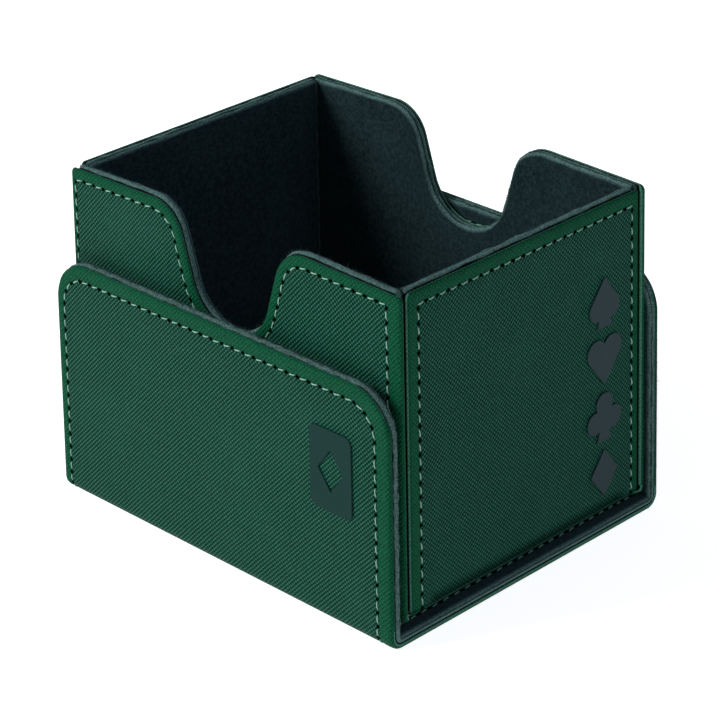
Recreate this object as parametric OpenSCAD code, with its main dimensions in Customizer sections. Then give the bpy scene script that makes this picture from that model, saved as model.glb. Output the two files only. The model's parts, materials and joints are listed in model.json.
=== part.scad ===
// Card deck box with a loose wrap lid, shown open with the lid parked under the box.
// Every panel is a sandwich: woven cover outside, grey board core, microfibre lining inside.
// Row frame: millimetres, +Z up, origin at the middle of the footprint on the table,
// X along the two scooped walls, the flap with the emblem faces -Y.

/* [Box] */
// Outside width of the box wrap, across the scooped walls
box_w = 104.6; // [90:0.2:130]
// Outside depth of the box, from the front wall to the back wall
box_d = 79.2; // [60:0.2:110]
// Height of the box on its own
box_h = 78.1; // [72:0.1:95]
// Radius of the fold between the box's bottom and its front and back walls
box_fold_r = 3.6; // [3.4:0.1:6]
// How far the side panels stand in from the side edges of the wrap
side_inset = 0.4; // [0.3:0.1:1.5]
// Radius of the front and back walls' outer top corners
wall_corner_r = 2.4; // [1.5:0.1:5]

/* [Finger scoops] */
// Radius of the scoop's round bottom
scoop_r = 12.5; // [10:0.5:14]
// Radius of the shoulders beside the scoop
shoulder_r = 9.5; // [6:0.5:10]
// Distance from the middle of the wall to the centre of each shoulder
shoulder_x = 24; // [24:0.5:30]
// Height of the scoop's bottom above the underside of the box
scoop_floor = 53.5; // [45:0.5:60]
// How much lower the wall's top is at the shoulders than at its corners
shoulder_dip = 0.5; // [0.1:0.1:1]

/* [Lid] */
// Width of the lid, along X
lid_w = 106.4; // [104:0.2:140]
// Height of the flap tops above the table while the lid is parked under the box
flap_top = 60.4; // [40:0.1:70]
// Radius of the flaps' two free corners
flap_corner_r = 10.5; // [4:0.5:14]
// Gap between each flap and the box wall behind it
flap_gap = 1.8; // [0.4:0.1:2.5]
// Outside radius of the cloth fold between the lid's panel and its flaps
lid_fold_r = 5.2; // [3.6:0.1:6]
// Gap left between the box's underside and the lid's lining
rest_gap = 0.1; // [0.1:0.1:0.3]

/* [Sandwich] */
// Full thickness of each panel
panel_t = 3.2; // [3:0.1:4]
// Thickness of the grey board in the middle of a panel
board_t = 1.8; // [1.4:0.1:2]
// How far the cloth reaches past the board at a turned edge
turn = 0.8; // [0.5:0.1:1.2]
// Distance from a panel's edge to the outer side of its stitch line
stitch_inset = 3.2; // [1.6:0.1:4]
// Width of the thread line
thread_w = 0.5; // [0.3:0.1:0.8]
// Depth of the thread line in the cloth
thread_d = 0.25; // [0.15:0.05:0.4]

/* [Magnets] */
// Diameter of the disc magnets
magnet_d = 10; // [6:1:14]
// Distance of each magnet from the middle of its panel
magnet_x = 34; // [30:1:40]
// Height of the magnets above the table
magnet_z = 42; // [20:1:46]

/* [Emblems] */
// Height that the rubbery emblems stand proud of the cover
emblem_h = 0.35; // [0.2:0.05:0.6]
// Width of the card emblem on the front flap
card_w = 12.6; // [8:0.2:16]
// Height of the card emblem
card_h = 19.6; // [12:0.2:24]
// Size of one suit pip in the column on the right side panel
pip = 12; // [8:0.5:14]
// Distance from one pip's centre to the next
pip_pitch = 14.2; // [13:0.1:16]

/* [Hidden] */
$fn = 96;

green = [0.03, 0.25, 0.16];
slate = [0.09, 0.13, 0.15];
lining_grey = [0.12, 0.17, 0.17];
board_grey = [0.55, 0.53, 0.5];
thread_mint = [0.45, 0.72, 0.6];
steel = [0.7, 0.7, 0.72];

half_t = panel_t / 2;
face_t = (panel_t - board_t) / 2;           // cloth and glue on each face of a board
box_z = panel_t + rest_gap;                 // underside of the box above the table
side_x = box_w / 2 - side_inset;            // outer face of a side panel
lining_x = side_x - half_t;                 // the wrap's lining ends here, behind the side covers
flap_y = box_d / 2 + flap_gap + panel_t;    // outer face of a flap
fold_y = flap_y - lid_fold_r;               // centre of the lid's fold, and the panel's edge
card_x = 36.2;                              // centre of the card emblem
card_z = 37.8;
card_r = 2;                                 // corner radius of the card emblem
pip_y = 27;                                 // centre line of the pip column
pip_z = 33.4 + box_z;                       // centre of the pip column

// The straight side of the scoop touches the bottom circle and the shoulder circle.
shoulder_z = box_h - shoulder_dip - shoulder_r;
scoop_z = scoop_floor + scoop_r;
centre_gap = norm([shoulder_x, shoulder_z - scoop_z]);
tangent_turn = acos((scoop_r + shoulder_r) / centre_gap)
    - atan2(shoulder_z - scoop_z, shoulder_x);
tangent_dir = [cos(tangent_turn), -sin(tangent_turn)];

// ---- outlines, in the (x, z) plane of a wall or flap ----

// The opening that a scoop cuts, for a wall outline drawn inset mm inside the edge
module scoop(inset = 0) {
    low = [0, scoop_z] + tangent_dir * (scoop_r + inset);
    high = [shoulder_x, shoulder_z] - tangent_dir * (shoulder_r - inset);
    top = box_h - inset;
    difference() {
        union() {
            translate([0, scoop_z]) circle(r = scoop_r + inset);
            polygon([
                low, high, [shoulder_x, shoulder_z], [shoulder_x, top + 1],
                [-shoulder_x, top + 1], [-shoulder_x, shoulder_z],
                [-high.x, high.y], [-low.x, low.y]
            ]);
            polygon([
                [shoulder_x, top - shoulder_dip], [2 * shoulder_x, top], [2 * shoulder_x, top + 1],
                [-2 * shoulder_x, top + 1], [-2 * shoulder_x, top], [-shoulder_x, top - shoulder_dip]
            ]);
        }
        for (side = [-1, 1]) translate([side * shoulder_x, shoulder_z]) circle(r = shoulder_r - inset);
    }
}

// A rectangle standing on z = low, with round top corners
module round_top(width, low, top, r) {
    for (side = [-1, 1]) translate([side * (width / 2 - r), top - r]) circle(r = r);
    translate([-width / 2 + r, low]) square([width - 2 * r, top - low]);
    translate([-width / 2, low]) square([width, top - low - r]);
}

// Front and back wall, from below the box's underside to its top
module wall_outline(inset = 0, low = -1, width = box_w, corner_r = wall_corner_r) {
    difference() {
        round_top(width - 2 * inset, low, box_h - inset, max(corner_r - inset, 0.4));
        scoop(inset);
    }
}

// The same for what lies behind the side covers
module inner_wall_outline(inset = 0, low = -1) {
    wall_outline(inset, low, 2 * lining_x, 0.4);
}

module flap_outline(inset = 0, low = lid_fold_r) {
    round_top(lid_w - 2 * inset, low, flap_top - inset, flap_corner_r - inset);
}

// Layer of a side panel, in (y, z), filling the wrap at a depth below the wrap's outside
module side_outline(depth) {
    intersection() {
        wrap_section(depth);
        translate([-box_d / 2, 0]) square([box_d, box_h]);
    }
}

// A plain rectangle inset mm inside a side cover's edges
module side_field(inset, low) {
    half = box_d / 2 - half_t - inset;
    translate([-half, low]) square([2 * half, box_h - inset - low]);
}

// A line one thread wide that follows an outline's edge, open at the bottom
module wall_stitch_line() {
    difference() {
        wall_outline(stitch_inset, -2);
        wall_outline(stitch_inset + thread_w, -3);
    }
}

module flap_stitch_line() {
    difference() {
        flap_outline(stitch_inset, lid_fold_r);
        flap_outline(stitch_inset + thread_w, lid_fold_r - 1);
    }
}

module side_stitch_line() {
    difference() {
        side_field(stitch_inset, half_t);
        side_field(stitch_inset + thread_w, half_t - 1);
    }
}

// ---- helpers that stand a flat outline up ----

// Outline in (x, z), extruded from y = near to y = far
module across_y(near, far) {
    translate([0, far, 0]) rotate([90, 0, 0]) linear_extrude(far - near) children();
}

// Outline in (y, z), extruded from x = near to x = far
module across_x(near, far) {
    translate([near, 0, 0]) rotate([90, 0, 90]) linear_extrude(far - near) children();
}

// ---- the box wrap: front wall, bottom and back wall in one piece of cloth ----

// Everything inside the wrap's surface at a depth below its outside, in (y, z)
module wrap_section(depth) {
    r = box_fold_r - depth;
    half = box_d / 2 - depth;
    for (side = [-1, 1]) translate([side * (half - r), depth + r]) circle(r = r);
    translate([-half + r, depth]) square([2 * (half - r), r + 1]);
    translate([-half, depth + r]) square([2 * half, box_h]);
}

// Layer of the wrap between two depths, cut to an outline in (x, z)
module wrap_layer(outer, inner) {
    intersection() {
        across_x(-box_w / 2, box_w / 2) difference() {
            wrap_section(outer);
            wrap_section(inner);
        }
        across_y(-box_d, box_d) children();
    }
}

// Two discs lying in a panel's board, which starts at y; slack widens them into pockets
module magnet_discs(y, slack = 0) {
    for (x = [-magnet_x, magnet_x])
        translate([x, y, magnet_z]) rotate([-90, 0, 0])
            cylinder(d = magnet_d + 2 * slack, h = board_t);
}

// Low side in Y of the board in the front (side -1) or back (side 1) wall, and in a flap
function wall_board_y(side) = side * (box_d / 2 - face_t - board_t / 2) - board_t / 2;
function flap_board_y(side) = side * (flap_y - face_t - board_t / 2) - board_t / 2;

module wall_core(side) {
    y = wall_board_y(side);
    across_y(y, y + board_t) inner_wall_outline(turn, box_fold_r + 1);
}

module bottom_core() {
    half = box_d / 2 - box_fold_r - 1;
    translate([-lining_x + turn, -half, face_t])
        cube([2 * (lining_x - turn), 2 * half, board_t]);
}

module wrap_cores() {
    wall_core(-1);
    wall_core(1);
    bottom_core();
}

// Thread on the wrap's outside
module wrap_thread() {
    wrap_layer(0, thread_d) wall_stitch_line();
}

// ---- side panels, set between the front and back walls ----

// Slab of a side panel between two depths below its outer face; side 1 is the right panel
module side_slab(side, outer, inner) {
    near = side > 0 ? side_x - inner : -side_x + outer;
    across_x(near, near + inner - outer) children();
}

module side_core(side) {
    side_slab(side, face_t, face_t + board_t) side_field(half_t + turn, panel_t + turn);
}

module side_thread(side) {
    side_slab(side, 0, thread_d) side_stitch_line();
}

module side_cover(side) {
    difference() {
        side_slab(side, 0, half_t) side_outline(half_t);
        side_core(side);
        side_thread(side);
    }
}

module side_lining(side) {
    difference() {
        side_slab(side, half_t, panel_t) side_outline(panel_t);
        side_core(side);
    }
}

// ---- the lid: panel on the table, two flaps standing up, two cloth folds ----

module panel_slab(low, high) {
    translate([-lid_w / 2, -fold_y, low]) cube([lid_w, 2 * fold_y, high - low]);
}

module panel_core() {
    translate([-lid_w / 2 + turn, -fold_y + turn, face_t])
        cube([lid_w - 2 * turn, 2 * (fold_y - turn), board_t]);
}

module panel_thread() {
    for (side = [-1, 1], low = [0, panel_t - thread_d])
        translate([side * (lid_w / 2 - stitch_inset - thread_w / 2) - thread_w / 2, -fold_y, low])
            cube([thread_w, 2 * fold_y, thread_d]);
}

// Slab of a flap between two depths below its outer face; side -1 is the front flap
module flap_slab(side, outer, inner) {
    near = side > 0 ? flap_y - inner : -flap_y + outer;
    across_y(near, near + inner - outer) children();
}

module flap_core(side) {
    flap_slab(side, face_t, face_t + board_t) flap_outline(turn, lid_fold_r + turn);
}

module flap_thread(side) {
    flap_slab(side, 0, thread_d) flap_stitch_line();
    flap_slab(side, panel_t - thread_d, panel_t) flap_stitch_line();
}

module flap_cover(side) {
    color(green) difference() {
        flap_slab(side, 0, half_t) flap_outline();
        flap_core(side);
        flap_thread(side);
    }
}

module flap_lining(side) {
    color(lining_grey) difference() {
        flap_slab(side, half_t, panel_t) flap_outline();
        flap_core(side);
        flap_thread(side);
    }
}

module flap_board(side) {
    color(board_grey) difference() {
        flap_core(side);
        magnet_discs(flap_board_y(side), 0.1);
    }
}

// Quarter of a ring of cloth between two radii, from the panel's edge up to a flap
module fold_strip(side, outer, inner) {
    across_x(-lid_w / 2, lid_w / 2) intersection() {
        translate([side * fold_y, lid_fold_r]) difference() {
            circle(r = outer);
            circle(r = inner);
        }
        translate([side > 0 ? fold_y : -fold_y - lid_fold_r, 0]) square(lid_fold_r);
    }
}

// ---- emblems: playing-card shapes, flat and slightly raised ----

module diamond_pip(size) {
    polygon([[0, size / 2], [size * 0.38, 0], [0, -size / 2], [-size * 0.38, 0]]);
}

module heart_pip(size) {
    for (side = [-1, 1]) translate([side * size * 0.22, size * 0.2]) circle(r = size * 0.26);
    polygon([[0, -size / 2], [size * 0.44, size * 0.06], [0, size * 0.36], [-size * 0.44, size * 0.06]]);
}

module pip_stem(size) {
    polygon([
        [-size * 0.05, size * 0.05], [size * 0.05, size * 0.05],
        [size * 0.2, -size / 2], [-size * 0.2, -size / 2]
    ]);
}

module spade_pip(size) {
    translate([0, size * 0.06]) mirror([0, 1]) scale(0.88) heart_pip(size);
    pip_stem(size);
}

module club_pip(size) {
    translate([0, size * 0.27]) circle(r = size * 0.23);
    for (side = [-1, 1]) translate([side * size * 0.25, -size * 0.07]) circle(r = size * 0.23);
    pip_stem(size);
}

module pip_column() {
    translate([pip_y, pip_z + 1.5 * pip_pitch]) spade_pip(pip);
    translate([pip_y, pip_z + 0.5 * pip_pitch]) heart_pip(pip);
    translate([pip_y, pip_z - 0.5 * pip_pitch]) club_pip(pip);
    translate([pip_y, pip_z - 1.5 * pip_pitch]) diamond_pip(pip);
}

module card_shape() {
    difference() {
        union() {
            for (x = [-1, 1], z = [-1, 1])
                translate([x * (card_w / 2 - card_r), z * (card_h / 2 - card_r)]) circle(r = card_r);
            square([card_w, card_h - 2 * card_r], center = true);
            square([card_w - 2 * card_r, card_h], center = true);
        }
        diamond_pip(card_h * 0.5);
    }
}

// ---- nodes of the box ----

module box_cover() {
    color(green) translate([0, 0, box_z]) difference() {
        wrap_layer(0, half_t) wall_outline();
        wrap_cores();
        wrap_thread();
    }
}

module box_lining() {
    color(lining_grey) translate([0, 0, box_z]) difference() {
        wrap_layer(half_t, panel_t) inner_wall_outline();
        wrap_cores();
    }
}

module wall_board(side) {
    color(board_grey) difference() {
        translate([0, 0, box_z]) wall_core(side);
        magnet_discs(wall_board_y(side), 0.1);
    }
}

module front_wall_board() { wall_board(-1); }
module back_wall_board() { wall_board(1); }
module bottom_board() { color(board_grey) translate([0, 0, box_z]) bottom_core(); }
module box_stitching() { color(thread_mint) translate([0, 0, box_z]) wrap_thread(); }
module front_wall_magnets() { color(steel) magnet_discs(wall_board_y(-1)); }
module back_wall_magnets() { color(steel) magnet_discs(wall_board_y(1)); }

module left_side_cover() { color(green) translate([0, 0, box_z]) side_cover(-1); }
module left_side_lining() { color(lining_grey) translate([0, 0, box_z]) side_lining(-1); }
module left_side_board() { color(board_grey) translate([0, 0, box_z]) side_core(-1); }
module left_side_stitching() { color(thread_mint) translate([0, 0, box_z]) side_thread(-1); }
module right_side_cover() { color(green) translate([0, 0, box_z]) side_cover(1); }
module right_side_lining() { color(lining_grey) translate([0, 0, box_z]) side_lining(1); }
module right_side_board() { color(board_grey) translate([0, 0, box_z]) side_core(1); }
module right_side_stitching() { color(thread_mint) translate([0, 0, box_z]) side_thread(1); }

module side_emblem() {
    color(slate) across_x(side_x, side_x + emblem_h) pip_column();
}

// ---- nodes of the lid ----

module lid_cover() {
    color(green) difference() {
        panel_slab(0, half_t);
        panel_core();
        panel_thread();
    }
}

module lid_lining() {
    color(lining_grey) difference() {
        panel_slab(half_t, panel_t);
        panel_core();
        panel_thread();
    }
}

module lid_board() { color(board_grey) panel_core(); }
module lid_stitching() { color(thread_mint) panel_thread(); }

module front_fold_cover() { color(green) fold_strip(-1, lid_fold_r, lid_fold_r - half_t); }
module front_fold_lining() { color(lining_grey) fold_strip(-1, lid_fold_r - half_t, lid_fold_r - panel_t); }
module back_fold_cover() { color(green) fold_strip(1, lid_fold_r, lid_fold_r - half_t); }
module back_fold_lining() { color(lining_grey) fold_strip(1, lid_fold_r - half_t, lid_fold_r - panel_t); }

module front_flap_cover() { flap_cover(-1); }
module front_flap_lining() { flap_lining(-1); }
module front_flap_board() { flap_board(-1); }
module front_flap_stitching() { color(thread_mint) flap_thread(-1); }
module front_flap_magnets() { color(steel) magnet_discs(flap_board_y(-1)); }
module back_flap_cover() { flap_cover(1); }
module back_flap_lining() { flap_lining(1); }
module back_flap_board() { flap_board(1); }
module back_flap_stitching() { color(thread_mint) flap_thread(1); }
module back_flap_magnets() { color(steel) magnet_discs(flap_board_y(1)); }

module flap_emblem() {
    color(slate) across_y(-flap_y - emblem_h, -flap_y) translate([card_x, card_z]) card_shape();
}

box_cover();
box_lining();
front_wall_board();
back_wall_board();
bottom_board();
box_stitching();
front_wall_magnets();
back_wall_magnets();
left_side_cover();
left_side_lining();
left_side_board();
left_side_stitching();
right_side_cover();
right_side_lining();
right_side_board();
right_side_stitching();
side_emblem();
lid_cover();
lid_lining();
lid_board();
lid_stitching();
front_fold_cover();
front_fold_lining();
back_fold_cover();
back_fold_lining();
front_flap_cover();
front_flap_lining();
front_flap_board();
front_flap_stitching();
front_flap_magnets();
flap_emblem();
back_flap_cover();
back_flap_lining();
back_flap_board();
back_flap_stitching();
back_flap_magnets();
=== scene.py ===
"""Looks of the card deck box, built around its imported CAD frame.

Outlines and profiles are in millimetres and become metres when a mesh is made.
"""
import json
import math
import random

import bmesh
import bpy
import numpy as np
from mathutils import Matrix, Vector
from mathutils.geometry import delaunay_2d_cdt

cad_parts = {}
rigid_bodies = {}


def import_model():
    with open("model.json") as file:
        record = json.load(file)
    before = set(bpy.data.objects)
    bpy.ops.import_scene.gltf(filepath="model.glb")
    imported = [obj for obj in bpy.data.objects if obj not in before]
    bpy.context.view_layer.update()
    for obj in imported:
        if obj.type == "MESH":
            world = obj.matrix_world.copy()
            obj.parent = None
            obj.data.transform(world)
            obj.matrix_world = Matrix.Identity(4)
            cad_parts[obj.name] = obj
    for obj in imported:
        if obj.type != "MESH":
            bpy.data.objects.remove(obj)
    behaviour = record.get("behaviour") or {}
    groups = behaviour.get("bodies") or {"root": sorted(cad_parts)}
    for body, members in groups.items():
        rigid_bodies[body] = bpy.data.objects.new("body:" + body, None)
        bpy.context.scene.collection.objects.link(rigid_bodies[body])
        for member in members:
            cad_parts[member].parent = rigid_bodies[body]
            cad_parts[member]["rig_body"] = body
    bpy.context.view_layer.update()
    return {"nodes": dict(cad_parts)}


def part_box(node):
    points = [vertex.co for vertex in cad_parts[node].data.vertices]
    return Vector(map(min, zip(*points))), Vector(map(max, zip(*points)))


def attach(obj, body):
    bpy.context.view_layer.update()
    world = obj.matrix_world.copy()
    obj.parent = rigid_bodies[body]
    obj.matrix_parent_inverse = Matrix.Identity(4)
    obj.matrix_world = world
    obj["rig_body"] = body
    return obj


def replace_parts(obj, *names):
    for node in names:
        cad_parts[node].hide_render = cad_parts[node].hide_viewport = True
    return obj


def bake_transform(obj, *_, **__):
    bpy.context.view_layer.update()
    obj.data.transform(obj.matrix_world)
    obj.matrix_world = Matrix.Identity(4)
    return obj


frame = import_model()

MM = 0.001


def node_box(node):
    """Lowest and highest corner of a CAD node, in millimetres."""
    low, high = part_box(node)
    return Vector(low) / MM, Vector(high) / MM


# ---- sizes, read from the frame ----

wrap_low, wrap_high = node_box("box_cover")
wrap_lining_low, wrap_lining_high = node_box("box_lining")
side_low, side_high = node_box("right_side_cover")
_, lid_high = node_box("lid_cover")
_, fold_high = node_box("front_fold_cover")
flap_low, flap_high = node_box("front_flap_cover")

HALF_T = wrap_lining_low.z - wrap_low.z  # cover half of a panel, and also its lining half
PANEL_T = 2 * HALF_T
BOX_Z = wrap_low.z
BOX_H = wrap_high.z - wrap_low.z
BOX_HALF_W = wrap_high.x
BOX_HALF_D = wrap_high.y
SIDE_X = side_high.x
SIDE_HALF_D = side_high.y
SIDE_FOOT = side_low.z - BOX_Z
LINING_HALF_W = wrap_lining_high.x
LID_HALF_W = lid_high.x
FOLD_Y = lid_high.y
LID_FOLD_R = fold_high.z
FLAP_Y = -flap_low.y
FLAP_TOP = flap_high.z

# ---- shapes that the frame's boxes don't tell ----

BOX_FOLD_R = 3.6
WALL_CORNER_R = 1.3
LINING_CORNER_R = 0.5
SIDE_CORNER_R = 0.9
FLAP_CORNER_R = 10.5
SCOOP_R = 12.5
SCOOP_FLOOR = 53.5
SHOULDER_R = 9.5
SHOULDER_X = 24.0
SHOULDER_DIP = -0.6  # negative: the shoulders beside the scoop stand above the corners
FOLD_BEND_R = 3.4  # the lid bends tighter than its folds are long
LEAN = 0.027
TUCK = 1.4  # the parked lid's back flap lies nearer to the box than its front flap
COVER_DROP = 0.4  # the lining's roll stands this much above the cover's
FAR_DROP = -0.2  # the same for the back wall and the left side, where the cover stands higher
SEAM_GAP = 0.65  # between a wall's side edge and the side panel
SIDE_SHIFT = 0.35  # the side panels sit nearer to the back wall
SIDE_FOOT_R = 1.2
WAIST = 2.6  # how much narrower the bottom is than the walls, each side
WAIST_FROM, WAIST_OVER = 2.2, 3  # where along a strip the waist starts, and how soon it is whole
LEAST_R = 0.35  # of a corner that shrinks as its outline moves in
TUCK_FROM, TUCK_OVER = 30, 8  # Y where the tuck starts, and how soon it is whole
BOX_FOLD_STEPS = 20
BOX_LINING_FOLD_STEPS = 6
LID_FOLD_STEPS = 16
EMBLEM_SHIFT = (0.05, -1.6, 0)  # of the side emblem, away from the stitches beside it
EMBLEM_EDGE_R = 0.09

STITCH_INSET = 3.2
STITCH_PITCH = 3.38
THREAD_R = 0.155
THREAD_RINGS, THREAD_SIDES = 9, 8
THREAD_SLANT = 0.13  # across the row, at either end of a stitch
THREAD_SINK = 0.42
STITCH_START, STITCH_SHARE = 0.21, 0.58  # of the pitch
HOLE_SIDES = 10
HOLE_ALONG, HOLE_ACROSS = 0.46, 0.42  # radii of a needle hole
HOLE_RIM, HOLE_END = 0.06, 0.25  # depths of a needle hole
FUZZ = 0.17
FUZZ_INSET = 1.2
FUZZ_EVENING = (0.3, 0.4, 0.3)  # weights that even out neighbouring lumps
WALL_FIBRES = 5400
SIDE_FIBRES = 2600
FIBRE_RINGS = 9  # rings of the lining's profile that fibres grow on
FIBRE_SHORTEST, FIBRE_MORE = 0.12, 0.75
FIBRE_HALF_W = 0.05
FIBRE_SWING = 0.6
# A fibre's colour includes the roll's painted rim highlight and painted groove shade.
FIBRE_INSET = -0.4  # place on the roll that a fibre takes its colour from
WALL_ROWS = (-1.6, -0.6, 0.8)  # how far stitch rows are off STITCH_INSET: left, top, right
FLAP_ROWS = (-0.5, 0.6, 0.9)
SIDE_ROWS = (0.1, 0.0, -0.7)
LID_LINING_ROWS = (0.4, 0, 0.4)
FINE_STEP = 0.55  # along a stitched edge
PLAIN_STEP = 1.1  # along an edge with no stitches
FIELD_GRID = 3.0
FIELD_INSET = 4.6  # where the flat middle of a panel starts
FIELD_FURTHER = 4  # how much further in than its border the flat middle counts
STRIP_FIELD_INSET = 9.0  # what the flat middle of a strip counts as
EDGE_TURN = 0.6  # what lies nearer to the edge stays put when a stitch row moves
FULL_DEPTH = 0.6  # from this depth on, a seam's share counts in full
RIPPLE_INSET = 4  # the ripple is whole this far from the edge
LID_SEAM = 0.85
LID_LINING_SHARE = 0.72
WALL_SHARE = {-1: 0.78, 1: 1.0}  # front and back wall's upright edges
FLAP_SHARE = 0.88
FLAP_LINING_SHARE = 0.76
SEAM = 0.53  # depth of the seam in a turned edge, as a share of the profile's depth
SHADE_RANGE = 0.2  # how far above SEAM a share takes the whole shade
# SHADE_INSET and the shades below move where the painted seam shade and painted edge highlight start on
# upright edges; a negative shade moves them later.
SHADE_INSET = 0.3
WALL_SHADE, SIDE_SHADE, FLAP_SHADE = -0.4, 0.9, -0.5
FOOT_CORNER = 1.4  # how much of a foot's two ends turns in
FOOT_DEPTH = 1.5  # depth that a foot closes at
FOOT_RINGS = 7
FOLD_WEAVE_START = -6.0
COVER_STILL, LINING_STILL = 0.15, 0.31  # share of a fold, at either end, that would not bend; the fold pieces are not made to bend

# Cross-section of a turned edge, from the seam to the flat face:
# (distance in from the panel's edge, depth under the panel's face).
COVER_EDGE = [
    (0.95, 1.72), (0.5, 1.66), (0.2, 1.5), (0.04, 1.24), (0.0, 0.92), (0.06, 0.58), (0.22, 0.28),
    (0.48, 0.09), (0.85, 0.0), (1.4, -0.05), (2.1, -0.03), (2.6, 0.03), (2.92, 0.12),
    (3.2, 0.18), (3.48, 0.12), (3.75, 0.05), (4.1, 0.01), (FIELD_INSET, 0.0),
]
LINING_EDGE = [
    (1.1, 2.46), (0.6, 2.4), (0.2, 2.2), (-0.04, 1.9), (-0.14, 1.52), (-0.15, 1.12),
    (-0.04, 0.7), (0.2, 0.34), (0.55, 0.1), (1.0, -0.02), (1.6, -0.03), (2.6, 0.0), (FIELD_INSET, 0.0),
]
LINING_STITCHED_EDGE = LINING_EDGE[:11] + [
    (2.5, 0.0), (2.85, 0.07), (3.2, 0.16), (3.55, 0.07), (3.9, 0.01), (FIELD_INSET, 0.0),
]


# ---- outlines: open at the bottom, from the lower left corner round to the lower right ----

def arc(centre, radius, start, end, count):
    """Points on an arc, angles in degrees, both ends included."""
    turn = np.radians(np.linspace(start, end, count))
    return np.stack([centre[0] + radius * np.cos(turn), centre[1] + radius * np.sin(turn)], 1)


def along(points, step_counts):
    """Polyline through corner points with a set number of steps on each side, last point left out."""
    parts = []
    for a, b, count in zip(points[:-1], points[1:], step_counts):
        share = np.linspace(0, 1, count, endpoint=False)[:, None]
        parts.append(np.array(a) * (1 - share) + np.array(b) * share)
    return parts


def steps(length, step):
    return max(2, round(length / step))


def clamped(value):
    """A value held between 0 and 1."""
    return min(1.0, max(0.0, value))


def moved(inset, extra):
    """Inset of a ring when the stitch line and all within it lie extra further in."""
    return inset + extra * clamped((inset - EDGE_TURN) / (STITCH_INSET - EDGE_TURN))


def round_panel(half_w, low, top, corner_r, step, rows=(0, 0, 0)):
    """Outline function of a panel with two round top corners."""
    side_n = steps(top - low - corner_r, step)
    top_n = steps(2 * (half_w - corner_r), step)
    arc_n = max(5, steps(corner_r * math.pi / 2, step))

    def outline(inset):
        r = max(corner_r - inset, LEAST_R)
        x0, x1 = moved(inset, rows[0]) - half_w, half_w - moved(inset, rows[2])
        z = top - moved(inset, rows[1])
        left = along([(x0, low), (x0, z - r)], [side_n])
        over = along([(x0 + r, z), (x1 - r, z)], [top_n])
        right = along([(x1, z - r), (x1, low)], [side_n])
        return np.concatenate([
            *left, arc((x0 + r, z - r), r, 180, 90, arc_n)[:-1],
            *over, arc((x1 - r, z - r), r, 90, 0, arc_n)[:-1],
            *right, [[x1, low]],
        ])

    return outline


def scooped_wall(half_w, low, top, step, corner_r, rows=(0, 0, 0), drop=0.0):
    """Outline function of a front or back wall, with the finger scoop in its top edge."""
    top = top - drop
    shoulder_z = top - SHOULDER_DIP - SHOULDER_R
    scoop_z = SCOOP_FLOOR + SCOOP_R - drop
    reach = math.hypot(SHOULDER_X, shoulder_z - scoop_z)
    tilt = math.acos((SCOOP_R + SHOULDER_R) / reach) - math.atan2(shoulder_z - scoop_z, SHOULDER_X)
    normal = np.array([math.cos(tilt), -math.sin(tilt)])
    tilt_deg = math.degrees(tilt)
    side_n = steps(top - low - corner_r, step)
    top_n = steps(half_w - SHOULDER_X - corner_r, step)
    corner_n = max(6, steps(corner_r * math.pi / 2, step / 2))
    shoulder_n = steps(math.radians(90 - tilt_deg) * SHOULDER_R, step)
    slope_n = steps(math.sqrt(reach ** 2 - (SCOOP_R + SHOULDER_R) ** 2), step)
    scoop_n = steps(math.radians(90 - tilt_deg) * SCOOP_R, step)

    def half(inset, side_extra):
        r = max(corner_r - inset, LEAST_R)
        over = moved(inset, rows[1])
        x, z = half_w - moved(inset, side_extra), top - over
        shoulder = np.array([SHOULDER_X, shoulder_z])
        high = shoulder - normal * (SHOULDER_R - over)
        low_point = np.array([0, scoop_z]) + normal * (SCOOP_R + over)
        return np.concatenate([
            arc((0, scoop_z), SCOOP_R + over, -90, -tilt_deg, scoop_n)[:-1],
            *along([low_point, high], [slope_n]),
            arc(shoulder, SHOULDER_R - over, 180 - tilt_deg, 90, shoulder_n)[:-1],
            *along([(SHOULDER_X, z - SHOULDER_DIP), (x - r, z)], [top_n]),
            arc((x - r, z - r), r, 90, 0, corner_n)[:-1],
            *along([(x, z - r), (x, low)], [side_n]), [[x, low]],
        ])

    def outline(inset):
        return np.concatenate([half(inset, rows[0])[:0:-1] * (-1, 1), half(inset, rows[2])])

    return outline


# ---- meshes ----

def leaned(point, tuck=0.0):
    """The soft walls and flaps lean in a little towards their free edges; tuck draws the back flap in."""
    x, y, z = point
    lean = LEAN * (0.5 - z / (BOX_Z + BOX_H))
    share = clamped((y - TUCK_FROM) / TUCK_OVER)
    return Vector((x * (1 + lean), y * (1 + lean) - tuck * share * share * (3 - 2 * share), z))


def seam_depth(depth, share):
    """Depth in a turned edge whose seam lies at a share of its profile's depth."""
    return depth * (1 + (share - 1) * clamped(depth / FULL_DEPTH))


def grid_faces(rings, wide):
    """Quads between neighbouring rings of as many points each as wide says."""
    return [
        (a, a + 1, a + 1 + wide, a + wide)
        for r in range(rings - 1) for a in range(r * wide, r * wide + wide - 1)]


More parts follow.
